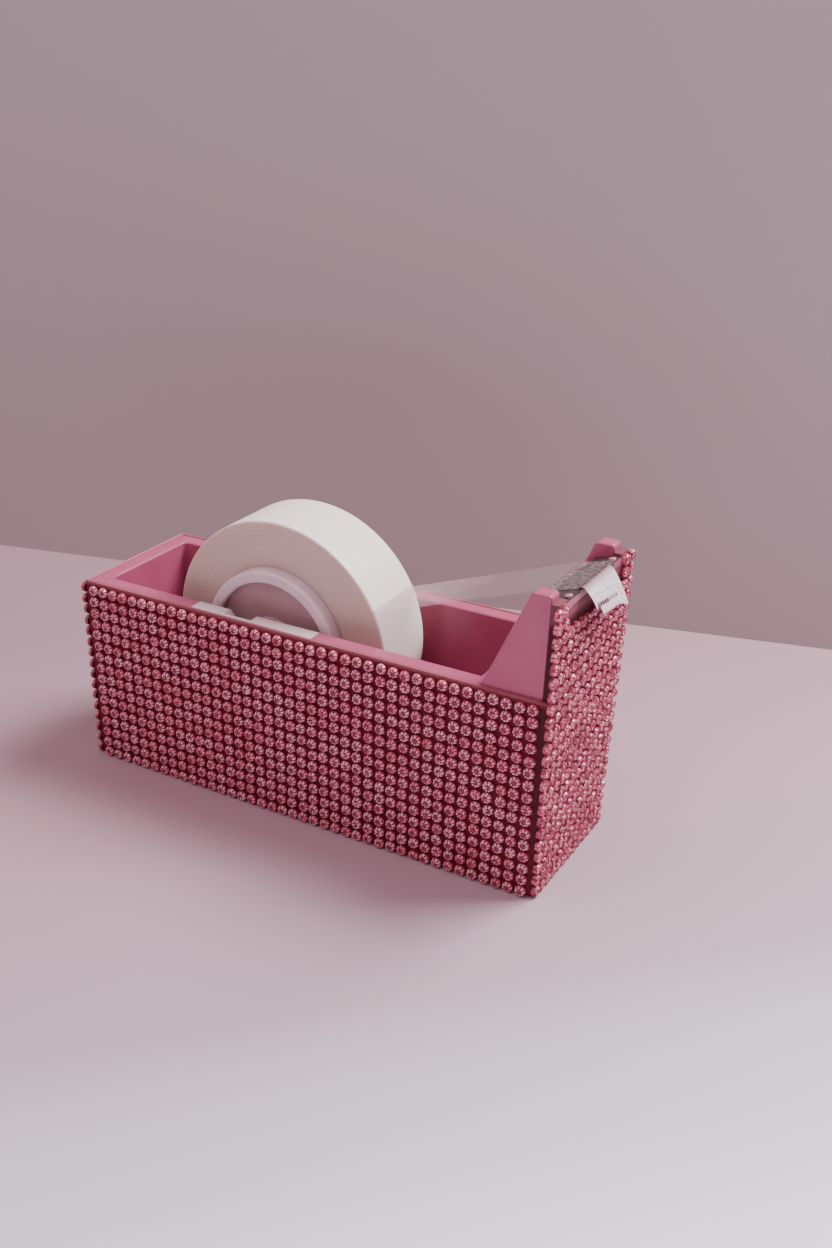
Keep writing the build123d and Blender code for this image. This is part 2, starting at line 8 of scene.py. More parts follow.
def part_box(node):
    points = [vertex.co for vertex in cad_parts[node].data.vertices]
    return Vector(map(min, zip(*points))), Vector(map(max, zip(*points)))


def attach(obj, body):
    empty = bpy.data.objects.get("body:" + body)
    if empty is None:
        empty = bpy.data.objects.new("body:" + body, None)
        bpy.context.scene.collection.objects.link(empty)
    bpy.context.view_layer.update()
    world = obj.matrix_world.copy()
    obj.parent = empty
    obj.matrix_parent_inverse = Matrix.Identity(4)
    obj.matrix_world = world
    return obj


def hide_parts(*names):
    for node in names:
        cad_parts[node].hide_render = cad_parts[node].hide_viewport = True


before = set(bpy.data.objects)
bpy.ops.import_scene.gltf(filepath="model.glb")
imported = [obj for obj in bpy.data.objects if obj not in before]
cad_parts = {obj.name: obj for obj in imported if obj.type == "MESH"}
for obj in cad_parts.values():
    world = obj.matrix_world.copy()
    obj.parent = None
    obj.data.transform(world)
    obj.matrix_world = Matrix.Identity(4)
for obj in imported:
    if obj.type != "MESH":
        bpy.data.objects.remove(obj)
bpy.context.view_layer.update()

# Desk tape dispenser with rhinestone-covered walls. Lengths below are millimetres
# in the row frame, +X towards the cutter and +Y across the tape, and they turn
# into metres where a mesh is made.

MM = 0.001
SEED = 29


def limits(node):
    """Lowest and highest corner of a CAD node, in millimetres."""
    low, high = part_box(node)
    return low / MM, high / MM


# ---- Places taken from the frame ----
near_low, near_high = limits("near_panel_film")
far_high = limits("far_panel_film")[1]
front_low, front_high = limits("front_panel_film")
rear_low = limits("rear_panel_film")[0]
roll_low, roll_high = limits("tape_roll")
blade_low, blade_high = limits("cutter_blade")
tail_low, tail_high = limits("tape_tail")
near_stones_high = limits("near_stones")[1]

RIM_Z = near_high.z
FRONT_BACK = 1.9                # the backing is thicker on the front
LEAN = math.atan2(front_high.x - FRONT_BACK - front_low.x, front_high.z - front_low.z)
AXLE = (roll_low + roll_high) / 2
TAPE_HALF = (roll_high.y - roll_low.y) / 2
TAPE_R = (roll_high.x - roll_low.x) / 2
STRIP_START = AXLE.x + TAPE_R
SIDE_LEAN = math.radians(1.2)   # lean of the last column of side stones
CORE_R = 15.02                  # bore of the wound tape

# ---- Rhinestones ----
STONE_R = 1.4
STONE_HEIGHT = 1.4
PETALS = 8
PETAL_HALF = 0.25               # half the angle of a petal, radians
# painted light: PALE and DEEP set how bright the petals' painted reflections are
PALE = (0.66, 0.88, 0.15)       # range of petal tones on the sides and the rear, and their scatter
DEEP = (0.30, 0.60, 0.36)       # and on the front, whose stones are deeper and more mixed
SIDE_COLUMNS = 40
SIDE_ROWS = 16
END_COLUMNS = 13
FRONT_ROWS = 23
HORN_ROWS = 2                   # front rows that only the horns carry
HORN_COLUMNS = 2                # stones across each horn in those rows
REAR_REACH = 19.45              # outer stone columns of the rear wall
FRONT_REACH = (18.95, 17.55)    # outer columns of the front at the foot, -Y and +Y
FRONT_SPLAY = (0.021, 0.036)    # and how they spread with height

# ---- Free tape ----
SHEET = 0.06
PEEL = math.radians(26)         # where the tape leaves the roll, above horizontal
DRIFT = tail_low.y + TAPE_HALF  # the tape lies this far off centre at the cutter
BLADE_TILT = math.radians(16.0)
BLADE_THICK = 0.5
TOOTH_DEPTH = 0.9
TOOTH_PITCH = 1.2
TAPE_LEAD = 1.4                 # the tape lands this far behind the cutter
TAIL_R = 14.0                   # curve of the loose end
TAIL_START = math.radians(48.3)
TAIL_END = math.radians(7.0)
TAIL_CENTRE_X = tail_high.x - TAIL_R * math.cos(TAIL_END)
TAIL_CENTRE_Z = 65.25
TAIL_TIP_Y = -5.8               # lowest point of its -Y side
CLOUD_REACH = 22.0              # the span is cloudy this far from the roll

# ---- View and light ----
CAMERA_AZIMUTH = math.radians(29.92)
CAMERA_ELEVATION = math.radians(25.02)
CAMERA_ROLL = math.radians(0.45)
CAMERA_AIM = (5.5, 24.3, 39.6)
CAMERA_DISTANCE = 360.0
CAMERA_LENS = 38.74
WALL_GAP = 125.0                # backdrop behind the middle of the object
WALL_TURN = math.radians(13.65)  # the backdrop is turned from the object by this
# painted shade: the floor's painted shade and pink bounce deepen along this turn
SHADE_TURN = math.radians(43.4)  # the floor darkens this way, from +Y towards -X


# ---- Mesh helpers ----
def make_piece(name, points, faces, smooth=False):
    """Mesh object from points in millimetres."""
    mesh = bpy.data.meshes.new(name)
    mesh.from_pydata([Vector(p) * MM for p in points], [], faces)
    mesh.polygons.foreach_set("use_smooth", [smooth] * len(mesh.polygons))
    mesh.update()
    piece = bpy.data.objects.new(name, mesh)
    bpy.context.scene.collection.objects.link(piece)
    return piece


def grid_faces(rows, columns, start=0, closed=False, flip=False):
    """Quads of a grid of points stored row by row; closed joins the last column to the first."""
    faces = []
    for row in range(rows - 1):
        for column in range(columns if closed else columns - 1):
            after = (column + 1) % columns
            a = start + row * columns + column
            b = start + row * columns + after
            c = start + (row + 1) * columns + after
            d = start + (row + 1) * columns + column
            faces.append((a, d, c, b) if flip else (a, b, c, d))
    return faces


def sheet_piece(name, rows, thickness):
    """Closed thin sheet over a grid of (point, normal) pairs, the grid being its lower face."""
    count = len(rows)
    width = len(rows[0])
    lower = [Vector(point) for row in rows for point, normal in row]
    upper = [Vector(point) + thickness * Vector(normal) for row in rows for point, normal in row]
    total = count * width
    faces = grid_faces(count, width, flip=True) + grid_faces(count, width, start=total)
    border = [(0, column) for column in range(width)]
    border += [(row, width - 1) for row in range(1, count)]
    border += [(count - 1, column) for column in range(width - 2, -1, -1)]
    border += [(row, 0) for row in range(count - 2, 0, -1)]
    ring = [row * width + column for row, column in border]
    for here, after in zip(ring, ring[1:] + ring[:1]):
        faces.append((here, after, after + total, here + total))
    return make_piece(name, lower + upper, faces, smooth=True)


# ---- Material helpers ----
def srgb(red, green, blue):
    """Linear colour from the usual 0 to 255 values."""
    channels = []
    for value in (red, green, blue):
        share = value / 255
        channels.append(share / 12.92 if share <= 0.04045 else ((share + 0.055) / 1.055) ** 2.4)
    return (*channels, 1.0)


class Finish:
    """A material under construction: its shader and short ways to add nodes."""

    def __init__(self, name, **values):
        self.material = bpy.data.materials.new(name)
        self.material.use_nodes = True
        self.nodes = self.material.node_tree.nodes
        self.shader = self.nodes["Principled BSDF"]
        for socket, value in values.items():
            self.shader.inputs[socket.replace("_", " ")].default_value = value
        self.place = self.nodes.new("ShaderNodeTexCoord").outputs["Object"]

    def link(self, output, node, socket):
        self.material.node_tree.links.new(output, node.inputs[socket])

    def noise(self, size, detail, stretch=(1, 1, 1)):
        """Noise with features about size millimetres across, longer where stretch is over 1."""
        scaling = self.nodes.new("ShaderNodeMapping")
        scaling.inputs["Scale"].default_value = [1 / s for s in stretch]
        self.link(self.place, scaling, "Vector")
        texture = self.nodes.new("ShaderNodeTexNoise")
        texture.inputs["Scale"].default_value = 1 / (size * MM)
        texture.inputs["Detail"].default_value = detail
        self.link(scaling.outputs["Vector"], texture, "Vector")
        return texture.outputs["Fac"]

    def axis(self, name):
        """One coordinate of the surface point, in metres."""
        split = self.nodes.new("ShaderNodeSeparateXYZ")
        self.link(self.place, split, "Vector")
        return split.outputs[name]

    def remap(self, source, low, high, to_low=0.0, to_high=1.0):
        """Value between two limits turned into a value between two others."""
        node = self.nodes.new("ShaderNodeMapRange")
        values = {"From Min": low, "From Max": high, "To Min": to_low, "To Max": to_high}
        for socket, value in values.items():
            node.inputs[socket].default_value = value
        self.link(source, node, "Value")
        return node.outputs["Result"]

    def maths(self, operation, first, second):
        """Arithmetic on two values, either of them a plain number."""
        node = self.nodes.new("ShaderNodeMath")
        node.operation = operation
        for index, value in enumerate((first, second)):
            if isinstance(value, (int, float)):
                node.inputs[index].default_value = value
            else:
                self.link(value, node, index)
        return node.outputs["Value"]

    def ramp(self, source, stops):
        """Colour that follows a value through a list of (position, colour) stops."""
        node = self.nodes.new("ShaderNodeValToRGB")
        band = node.color_ramp
        while len(band.elements) < len(stops):
            band.elements.new(0.5)
        for element, (position, colour) in zip(band.elements, stops):
            element.position = position
            element.color = colour
        self.link(source, node, "Fac")
        return node.outputs["Color"]

    def colour(self, output):
        self.link(output, self.shader, "Base Color")

    def roughness(self, source, low, high):
        self.link(self.remap(source, 0.3, 0.7, low, high), self.shader, "Roughness")

    def bump(self, height, depth):
        """Surface relief depth millimetres deep."""
        node = self.nodes.new("ShaderNodeBump")
        node.inputs["Distance"].default_value = depth * MM
        self.link(height, node, "Height")
        self.link(node.outputs["Normal"], self.shader, "Normal")


def paint(piece, material):
    """Gives every slot of an object the same material."""
    if not piece.material_slots:
        piece.data.materials.append(material)
    for slot in piece.material_slots:
        slot.material = material


# ---- Materials ----
def stone_finish():
    """Foil-backed pink crystal: each facet's colour runs from dark wine to pale pink by its painted
    sparkle, the light and shade of its inner reflections.
    """
    finish = Finish("pink_crystal", Metallic=0.15, Roughness=0.35, Coat_Weight=0.35, Coat_Roughness=0.12)
    # painted light: the facets' reflections, glints and shade are painted into this colour
    painted_sparkle = finish.nodes.new("ShaderNodeAttribute")
    painted_sparkle.attribute_name = "painted_sparkle"
    stops = [
        (0.0, srgb(98, 16, 40)),
        (0.3, srgb(176, 66, 92)),
        (0.65, srgb(240, 135, 163)),
        (1.0, srgb(255, 216, 228)),
    ]
    finish.colour(finish.ramp(painted_sparkle.outputs["Fac"], stops))
    return finish.material


def film_finish(name, bare_from, bare_dark, bare_light):
    """Glued backing sheet: wine-dark between the stones, partly its own colour and partly painted shade
    from the stones, and browner and lighter where it is left bare above a height, partly its own colour and
    partly painted light.
    """
    finish = Finish(name, Roughness=0.6, Specular_IOR_Level=0.3)
    speckle = finish.noise(0.5, detail=4)
    bare = finish.remap(finish.axis("Z"), (bare_from - 0.5) * MM, (bare_from + 0.5) * MM)
    stones_end = near_stones_high.x
    # a little darker past the front column of the near stones
    ahead = finish.remap(finish.axis("X"), (stones_end - 1.0) * MM, stones_end * MM, 0.1, -0.06)
    # painted shade and light: the ground between the stones is painted darker than the glue alone, and the
    # bare strip lighter than bare film
    ground = finish.maths("ADD", ahead, finish.maths("MULTIPLY", speckle, 0.2))
    shade = finish.maths("ADD", ground, finish.maths("MULTIPLY", bare, 0.75))
    stops = [
        (0.0, srgb(62, 10, 26)),
        (0.15, srgb(100, 16, 39)),
        (0.25, srgb(118, 24, 49)),
        (0.45, srgb(108, 32, 48)),
        (0.8, bare_dark),
        (1.0, bare_light),
    ]
    finish.colour(finish.ramp(shade, stops))
    finish.bump(speckle, 0.03)
    return finish.material


def shell_finish():
    """Pink moulded plastic with a faint orange peel."""
    finish = Finish("pink_plastic", Subsurface_Weight=0.1, Subsurface_Scale=0.0015, Coat_Weight=0.55,
                    Coat_Roughness=0.13, Specular_IOR_Level=0.4)
    finish.shader.inputs["Subsurface Radius"].default_value = (1.0, 0.3, 0.45)
    cloud = finish.noise(9.0, detail=3)
    stops = [(0.3, srgb(170, 78, 112)), (0.7, srgb(178, 85, 119))]
    finish.colour(finish.ramp(cloud, stops))
    finish.roughness(finish.noise(2.5, detail=5), 0.32, 0.44)
    finish.bump(finish.noise(0.35, detail=2), 0.008)
    return finish.material


def white_plastic_finish(name, light, dark, rough):
    """Milky moulded plastic, a little translucent."""
    finish = Finish(name, Subsurface_Weight=0.45, Subsurface_Scale=0.004)
    finish.shader.inputs["Subsurface Radius"].default_value = (1.0, 0.8, 0.75)
    cloud = finish.noise(6.0, detail=3)
    finish.colour(finish.ramp(cloud, [(0.3, dark), (0.7, light)]))
    finish.roughness(finish.noise(2.0, detail=4), rough - 0.06, rough + 0.06)
    finish.bump(finish.noise(0.4, detail=2), 0.006)
    return finish.material


def roll_finish():
    """Frosted tape, wound: pale tread and warmer glue-edged sides with fine layer lines."""
    finish = Finish("wound_tape", Subsurface_Weight=0.55, Subsurface_Scale=0.003, Roughness=0.38)
    finish.shader.inputs["Subsurface Radius"].default_value = (1.0, 0.82, 0.75)
    off_centre = finish.maths("ABSOLUTE", finish.axis("Y"), 0.0)
    side = finish.remap(off_centre, (TAPE_HALF - 0.5) * MM, (TAPE_HALF - 0.1) * MM)
    dx = finish.maths("SUBTRACT", finish.axis("X"), AXLE.x * MM)
    dz = finish.maths("SUBTRACT", finish.axis("Z"), AXLE.z * MM)
    squares = finish.maths("ADD", finish.maths("MULTIPLY", dx, dx), finish.maths("MULTIPLY", dz, dz))
    radius = finish.maths("SQRT", squares, 0.0)
    rings = finish.nodes.new("ShaderNodeTexNoise")
    rings.noise_dimensions = "1D"
    rings.inputs["Scale"].default_value = 2200.0
    rings.inputs["Detail"].default_value = 3.0
    finish.link(radius, rings, "W")
    layered = finish.maths("MULTIPLY", rings.outputs["Fac"], 0.45)
    shade = finish.maths("MULTIPLY", side, finish.maths("ADD", layered, 0.55))
    stops = [(0.0, srgb(247, 236, 235)), (0.6, srgb(201, 182, 171)), (1.0, srgb(219, 203, 193))]
    finish.colour(finish.ramp(shade, stops))
    finish.bump(finish.maths("MULTIPLY", rings.outputs["Fac"], side), 0.02)
    return finish.material


def clear_tape_finish(name, haze, near_roll, light, dark, streak):
    """Matte see-through tape; haze is the share of it that scatters light, away from and near the roll."""
    finish = Finish(name, Roughness=0.5)
    cloud = finish.noise(streak, detail=4, stretch=(2.5, 1, 2.5))
    finish.colour(finish.ramp(cloud, [(0.35, dark), (0.65, light)]))
    cloud_end = STRIP_START + CLOUD_REACH
    from_roll = finish.remap(finish.axis("X"), STRIP_START * MM, cloud_end * MM, near_roll, haze)
    veil = finish.remap(finish.noise(1.2, detail=5, stretch=(4, 1, 4)), 0.3, 0.7, 0.8, 1.2)
    finish.link(finish.maths("MULTIPLY", from_roll, veil), finish.shader, "Alpha")
    finish.bump(finish.noise(0.5, detail=3, stretch=(3, 1, 3)), 0.01)
    return finish.material


def torn_tape_finish():
    """Loose end seen from its frosted side, greyer at the fold, with rows of dark tooth marks."""
    finish = Finish("torn_tape", Roughness=0.6)
    speckle = finish.noise(0.4, detail=5)
    mark = finish.nodes.new("ShaderNodeAttribute")
    mark.attribute_name = "mark"
    shade = finish.maths("SUBTRACT", finish.remap(speckle, 0.3, 0.7, 0.6, 1.0), mark.outputs["Fac"])
    stops = [
        (0.0, srgb(70, 26, 40)),
        (0.35, srgb(164, 136, 146)),
        (0.7, srgb(208, 191, 200)),
        (1.0, srgb(242, 234, 239)),
    ]
    finish.colour(finish.ramp(shade, stops))
    finish.bump(speckle, 0.03)
    return finish.material


def steel_finish(name, light, dark, rough, stretch):
    """Rolled steel with fine marks along one direction."""
    finish = Finish(name, Metallic=1.0)
    grain = finish.noise(0.25, detail=5, stretch=stretch)
    finish.colour(finish.ramp(grain, [(0.3, dark), (0.7, light)]))
    finish.roughness(grain, rough - 0.08, rough + 0.1)
    finish.bump(grain, 0.006)
    return finish.material


def dull_finish(name, light, dark, rough, grain_size):
    """Rubber or unpainted moulding."""
    finish = Finish(name)
    grain = finish.noise(grain_size, detail=4)
    finish.colour(finish.ramp(grain, [(0.3, dark), (0.7, light)]))
    finish.roughness(grain, rough - 0.06, rough + 0.06)
    finish.bump(grain, 0.02)
    return finish.material


def floor_finish():
    """Pale sheet with painted shade: darker and mauver away from the front right, standing in for the
    object's soft shadow and pink bounce light.
    """
    finish = Finish("floor_sheet", Roughness=0.6)
    cloud = finish.noise(260.0, detail=2)
    sideways = finish.maths("MULTIPLY", finish.axis("X"), -math.sin(SHADE_TURN))
    away = finish.maths("ADD", sideways, finish.maths("MULTIPLY", finish.axis("Y"), math.cos(SHADE_TURN)))
    depth = finish.remap(away, -160 * MM, 110 * MM, -0.02, 0.98)
    shade = finish.maths("ADD", depth, finish.maths("MULTIPLY", cloud, 0.04))
    # painted shade and pink bounce light along the floor
    stops = [
        (0.0, srgb(245, 238, 250)),
        (0.11, srgb(211, 206, 222)),
        (0.2, srgb(198, 192, 202)),
        (0.28, srgb(182, 161, 173)),
        (0.6, srgb(178, 147, 158)),
        (1.0, srgb(158, 129, 140)),
    ]
    finish.colour(finish.ramp(shade, stops))
    return finish.material


def wall_finish():
    """Matt mauve backdrop that shows only from its front."""
    finish = Finish("backdrop", Roughness=0.8)
    cloud = finish.noise(220.0, detail=2)
    finish.colour(finish.ramp(cloud, [(0.3, srgb(181, 175, 176)), (0.7, srgb(185, 179, 180))]))
    facing = finish.nodes.new("ShaderNodeNewGeometry")
    finish.link(finish.maths("SUBTRACT", 1.0, facing.outputs["Backfacing"]), finish.shader, "Alpha")
    return finish.material


# ---- Rhinestone pieces ----
def stone_rings():
    """Rings of one stone from its foot up, as (radius, height) at petals and at the grooves between."""
    return [
        ((0.97, 0.0), (0.95, 0.0)),
        ((1.0, 0.55), (0.96, 0.52)),
        ((0.86, 0.88), (0.77, 0.75)),
        ((0.54, 1.0), (0.47, 0.90)),
    ]


def stone_points():
    """Points of one stone of radius and height 1; three around per petal, the third in its groove."""
    points = []
    half_step = math.pi / PETALS
    for petal, groove in stone_rings():
        for index in range(PETALS):
            middle = index * math.tau / PETALS
            corners = ((-PETAL_HALF, petal), (PETAL_HALF, petal), (half_step, groove))
            for offset, (radius, height) in corners:
                angle = middle + offset
                points.append(Vector((radius * math.cos(angle), radius * math.sin(angle), height)))
    points.append(Vector((0.0, 0.0, 0.84)))
    return points


def stone_faces():
    """Faces of one stone, with the ring each belongs to and whether it lies on a petal."""
    around = 3 * PETALS
    rings = len(stone_rings())
    faces = []
    for ring in range(rings - 1):
        for index in range(around):
            after = (index + 1) % around
            low = ring * around
            high = low + around
            corners = (low + index, low + after, high + after, high + index)
            faces.append((corners, ring, index % 3 == 0))
    top = (rings - 1) * around
    for index in range(around):
        corners = (top + index, top + (index + 1) % around, rings * around)
        faces.append((corners, rings - 1, index % 3 == 0))
    return faces


def painted_facet_sparkle(ring, on_petal, dice, level, scatter):
    """Painted sparkle of one facet, dark wine 0 to pale pink 1: painted reflections on the petals, a few
    painted glints in the middle, painted shade on the sides and in the grooves; ring 0 is the stone's side
    and 3 its middle.
    """
    if ring == 0:
        return 0.12 + (scatter + 0.05) * dice.random()
    if ring == 3:
        return level if dice.random() < 0.08 else 0.04 + 0.2 * dice.random()
    if not on_petal:
        return 0.14 + (scatter + 0.05) * dice.random()
    if ring == 2:
        return level + dice.uniform(-scatter, scatter)
    return level - 0.1 + dice.uniform(-scatter, scatter)


def stone_field(name, places, outward, along, levels, dice):
    """One mesh of every stone at the given places, each turned, tipped and sized a little differently."""
    upward = outward.cross(along)
    axes = Matrix((along, upward, outward)).transposed()
    template = stone_points()
    shape = stone_faces()
    lowest, highest, scatter = levels
    points = []
    faces = []
    painted_sparkles = []
    for place in places:
        turn = Matrix.Rotation(dice.uniform(0, math.tau / PETALS), 3, "Z")
        tip = Matrix.Rotation(math.radians(dice.gauss(0, 4)), 3, "X")
        tip = tip @ Matrix.Rotation(math.radians(dice.gauss(0, 4)), 3, "Y")
        size = STONE_R * dice.uniform(0.96, 1.03)
        shift = along * dice.gauss(0, 0.07) + upward * dice.gauss(0, 0.07)
        level = dice.uniform(lowest, highest)
        start = len(points)
        for point in template:
            local = Vector((point.x * size, point.y * size, point.z * STONE_HEIGHT))
            if point.z > 0:
                local = tip @ turn @ local
            else:
                local = turn @ local
            local.z = min(local.z, STONE_HEIGHT)
            points.append(place + shift + axes @ local)
        for corners, ring, on_petal in shape:
            faces.append(tuple(start + corner for corner in corners))
            # painted light: each facet's painted brightness stands in for its reflections, glints and shade
            painted_sparkles.append(painted_facet_sparkle(ring, on_petal, dice, level, scatter))
    piece = make_piece(name, points, faces)
    attribute = piece.data.attributes.new("painted_sparkle", "FLOAT", "FACE")
    attribute.data.foreach_set("value", painted_sparkles)
    return piece


def spread(low, high, count):
    """Evenly spaced values from low to high."""
    return [low + (high - low) * index / (count - 1) for index in range(count)]


def side_places(y, node):
    """Stone centres on a long wall; the last columns lean with the front edge."""
    low, high = limits(node)
    places = []
    for z in spread(low.z + STONE_R, high.z - STONE_R, SIDE_ROWS):
        x_front = high.x - STONE_R - (high.z - z) * math.tan(SIDE_LEAN)
        for x in spread(low.x + STONE_R, x_front, SIDE_COLUMNS):
            places.append(Vector((x, y, z)))
    return places


def front_columns(z):
    """Y of the stone columns on the front at height z, a little wider apart higher up."""
    near = FRONT_REACH[0] + FRONT_SPLAY[0] * z
    far = FRONT_REACH[1] + FRONT_SPLAY[1] * z
    return spread(-near, far, END_COLUMNS)


def front_places():
    """Stone centres on the leaning front, with the notch between the horns left out."""
    low, high = limits("front_stones")
    places = []
    for row, z in enumerate(spread(low.z + STONE_R, high.z - STONE_R, FRONT_ROWS)):
        x = front_low.x + FRONT_BACK + (z - front_low.z) * math.tan(LEAN)
        on_horns = row >= FRONT_ROWS - HORN_ROWS
        for column, y in enumerate(front_columns(z)):
            if on_horns and HORN_COLUMNS <= column < END_COLUMNS - HORN_COLUMNS:
                continue
            places.append(Vector((x, y, z)))
    return places


def rear_places():
    """Stone centres on the rear wall."""
    low, high = limits("rear_stones")
    rows = spread(low.z + STONE_R, high.z - STONE_R, SIDE_ROWS)
    columns = spread(-REAR_REACH, REAR_REACH, END_COLUMNS)
    return [Vector((rear_low.x, y, z)) for z in rows for y in columns]


def add_stones(crystal):
    """The four rhinestone fields."""
    facing = Vector((math.cos(LEAN), 0, -math.sin(LEAN)))
    fields = [
        ("near", side_places(near_low.y, "near_stones"), Vector((0, -1, 0)), Vector((1, 0, 0)), PALE),
        ("far", side_places(far_high.y, "far_stones"), Vector((0, 1, 0)), Vector((-1, 0, 0)), PALE),
        ("front", front_places(), facing, Vector((0, 1, 0)), DEEP),
        ("rear", rear_places(), Vector((-1, 0, 0)), Vector((0, -1, 0)), PALE),
    ]
    for index, (side, places, outward, along, levels) in enumerate(fields):
        dice = random.Random(SEED + index)
        piece = stone_field(f"{side}_rhinestones", places, outward, along, levels, dice)
        paint(piece, crystal)
        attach(piece, "base")
        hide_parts(f"{side}_stones")


# ---- Tape roll ----
def roll_profile():
    """Half section of the wound tape, (radius, y), from the near bore edge round to the far one."""
    rng = random.Random(SEED)
    corner = 0.45
    steps = 44
    side = []
    for radius in spread(CORE_R, TAPE_R - corner, steps):
        inward = 0.03 + 0.05 * rng.random() if 0 < len(side) < steps - 1 else 0.02
        side.append((radius, TAPE_HALF - inward))
    rounding = []
    for angle in spread(75, 0, 5):
        a = math.radians(angle)
        rounding.append((TAPE_R - corner + corner * math.cos(a), TAPE_HALF - corner + corner * math.sin(a)))
    far_half = side + rounding
    near_half = [(radius, -y) for radius, y in reversed(far_half)]
    tread = [(TAPE_R, y) for y in spread(TAPE_HALF - 2, 2 - TAPE_HALF, 5)]
    return far_half + tread + near_half


def add_roll(material):
    """Wound tape as a turned ring whose sides show slightly uneven layers."""
    around = 240
    profile = roll_profile()
    points = []
    for radius, y in profile:
        for index in range(around):
            angle = index * math.tau / around
            points.append((AXLE.x + radius * math.cos(angle), y, AXLE.z + radius * math.sin(angle)))
    faces = grid_faces(len(profile), around, closed=True)
    last = (len(profile) - 1) * around
    for index in range(around):
        after = (index + 1) % around
        faces.append((last + index, last + after, after, index))
    piece = make_piece("wound_tape", points, faces, smooth=True)
    paint(piece, material)
    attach(piece, "roll")
    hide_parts("tape_roll")


# ---- Free tape ----
def blade_top(along, lift=0.0):
    """X and Z of a point over the cutter, from its rear edge, lifted off it; level behind that edge."""
    rear_x = blade_low.x
    rear_z = blade_high.z - blade_length() * math.sin(BLADE_TILT)
    x = rear_x + along * math.cos(BLADE_TILT) - lift * math.sin(BLADE_TILT)
    z = rear_z + max(0.0, along) * math.sin(BLADE_TILT) + lift * math.cos(BLADE_TILT)
    return x, z


def blade_length():
    """Length of the cutter's top face, from its rear edge to the tips of the teeth."""
    run = blade_high.x - BLADE_THICK * math.sin(BLADE_TILT) - blade_low.x
    return run / math.cos(BLADE_TILT)


def across(count, low=-TAPE_HALF, high=TAPE_HALF):
    """Y of evenly spaced points over the tape's width, or part of it."""
    return spread(low, high, count)


def strip_rows():
    """Grid under the tape that runs from the roll to the cutter, drifting off centre."""
    hug = TAPE_R + 0.1
    path = []
    for angle in spread(PEEL + math.radians(1), PEEL, 3):
        x = AXLE.x + hug * math.cos(angle)
        z = AXLE.z + hug * math.sin(angle)
        path.append((x, z, math.cos(angle), math.sin(angle), 0.0))
    start = path[-1]
    end_x, end_z = blade_top(-TAPE_LEAD - 0.1, 0.05)
    run = math.hypot(end_x - start[0], end_z - start[1])
    normal = (-(end_z - start[1]) / run, (end_x - start[0]) / run)
    for share in spread(0.04, 1.0, 28):
        x = start[0] + share * (end_x - start[0])
        z = start[1] + share * (end_z - start[1])
        path.append((x, z, *normal, share * DRIFT))
    rows = []
    for index, (x, z, nx, nz, drift) in enumerate(path):
        row = []
        for y in across(13):
            lift = 0.05 * noise.noise(Vector((x * 0.08, y * 0.25, 0.3)))
            lift *= min(1.0, max(0, index - 2) / 6, (len(path) - 1 - index) / 4)
            row.append(((x + nx * lift, y + drift, z + nz * lift), (nx, 0, nz)))
        rows.append(row)
    return rows


def add_strip(material):
    """Clear tape between the roll and the cutter."""
    piece = sheet_piece("free_tape_span", strip_rows(), SHEET)
    paint(piece, material)
    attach(piece, "axle")
    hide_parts("tape_strip")


def landed_rows():
    """Grid under the tape that lies pressed and wrinkled on the cutter."""
    length = blade_length() - TOOTH_DEPTH
    rows = []
    for along in spread(-TAPE_LEAD, length, 50):
        row = []
        for y in across(110):
            crease = abs(noise.noise(Vector((along * 0.55 - y * 0.3, y * 1.7, 4.0))))
            ripple = 0.5 + 0.5 * noise.noise(Vector((along * 1.6, y * 2.9, 7.0)))
            edge = max(0.0, min(1.0, (along + TAPE_LEAD) / 0.6, (length - along) / 0.5))
            x, z = blade_top(along, 0.02 + (0.14 * ripple + 0.16 * crease) * edge)
            row.append(((x, y + DRIFT, z), (-math.sin(BLADE_TILT), 0, math.cos(BLADE_TILT))))
        rows.append(row)
    return rows


def add_landed_tape(material):
    """Tape pressed onto the cutter's top face."""
    piece = sheet_piece("landed_tape", landed_rows(), SHEET)
    paint(piece, material)
    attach(piece, "base")


def tooth_wave(y):
    """Saw wave over y, 0 in the notches and 1 at the points."""
    return abs((y / TOOTH_PITCH) % 1.0 - 0.5) * 2


def tail_end_angle(y):
    """Angle on the curl where the torn end stops at this y."""
    near_step = math.radians(25.5)
    tip = math.radians(16.8)
    middle = math.radians(13.6)
    middle_y = 3.0
    if y < TAIL_TIP_Y:
        stop = near_step
    elif y < middle_y:
        stop = tip + (middle - tip) * (y - TAIL_TIP_Y) / (middle_y - TAIL_TIP_Y)
    else:
        stop = middle + (TAIL_END - middle) * (y - middle_y) / (tail_high.y - middle_y)
    return stop + math.radians(2.6) * (1 - tooth_wave(y - TAIL_TIP_Y + TOOTH_PITCH / 2))


def tail_point(angle, y):
    """Point under the loose end, bulging less towards its far side."""
    side = (y - tail_low.y) / (tail_high.y - tail_low.y)
    drop = (TAIL_START - angle) / (TAIL_START - TAIL_END)
    sag = 0.35 * side * math.sin(math.pi * min(1.0, drop))
    crumple = 0.10 * noise.noise(Vector((y * 0.5, angle * 4.0, 9.0))) * min(1.0, 4 * drop)
    radius = TAIL_R - SHEET - 0.12 - max(0.0, sag) + crumple
    x = TAIL_CENTRE_X + radius * math.cos(angle)
    z = TAIL_CENTRE_Z + radius * math.sin(angle)
    return x, z


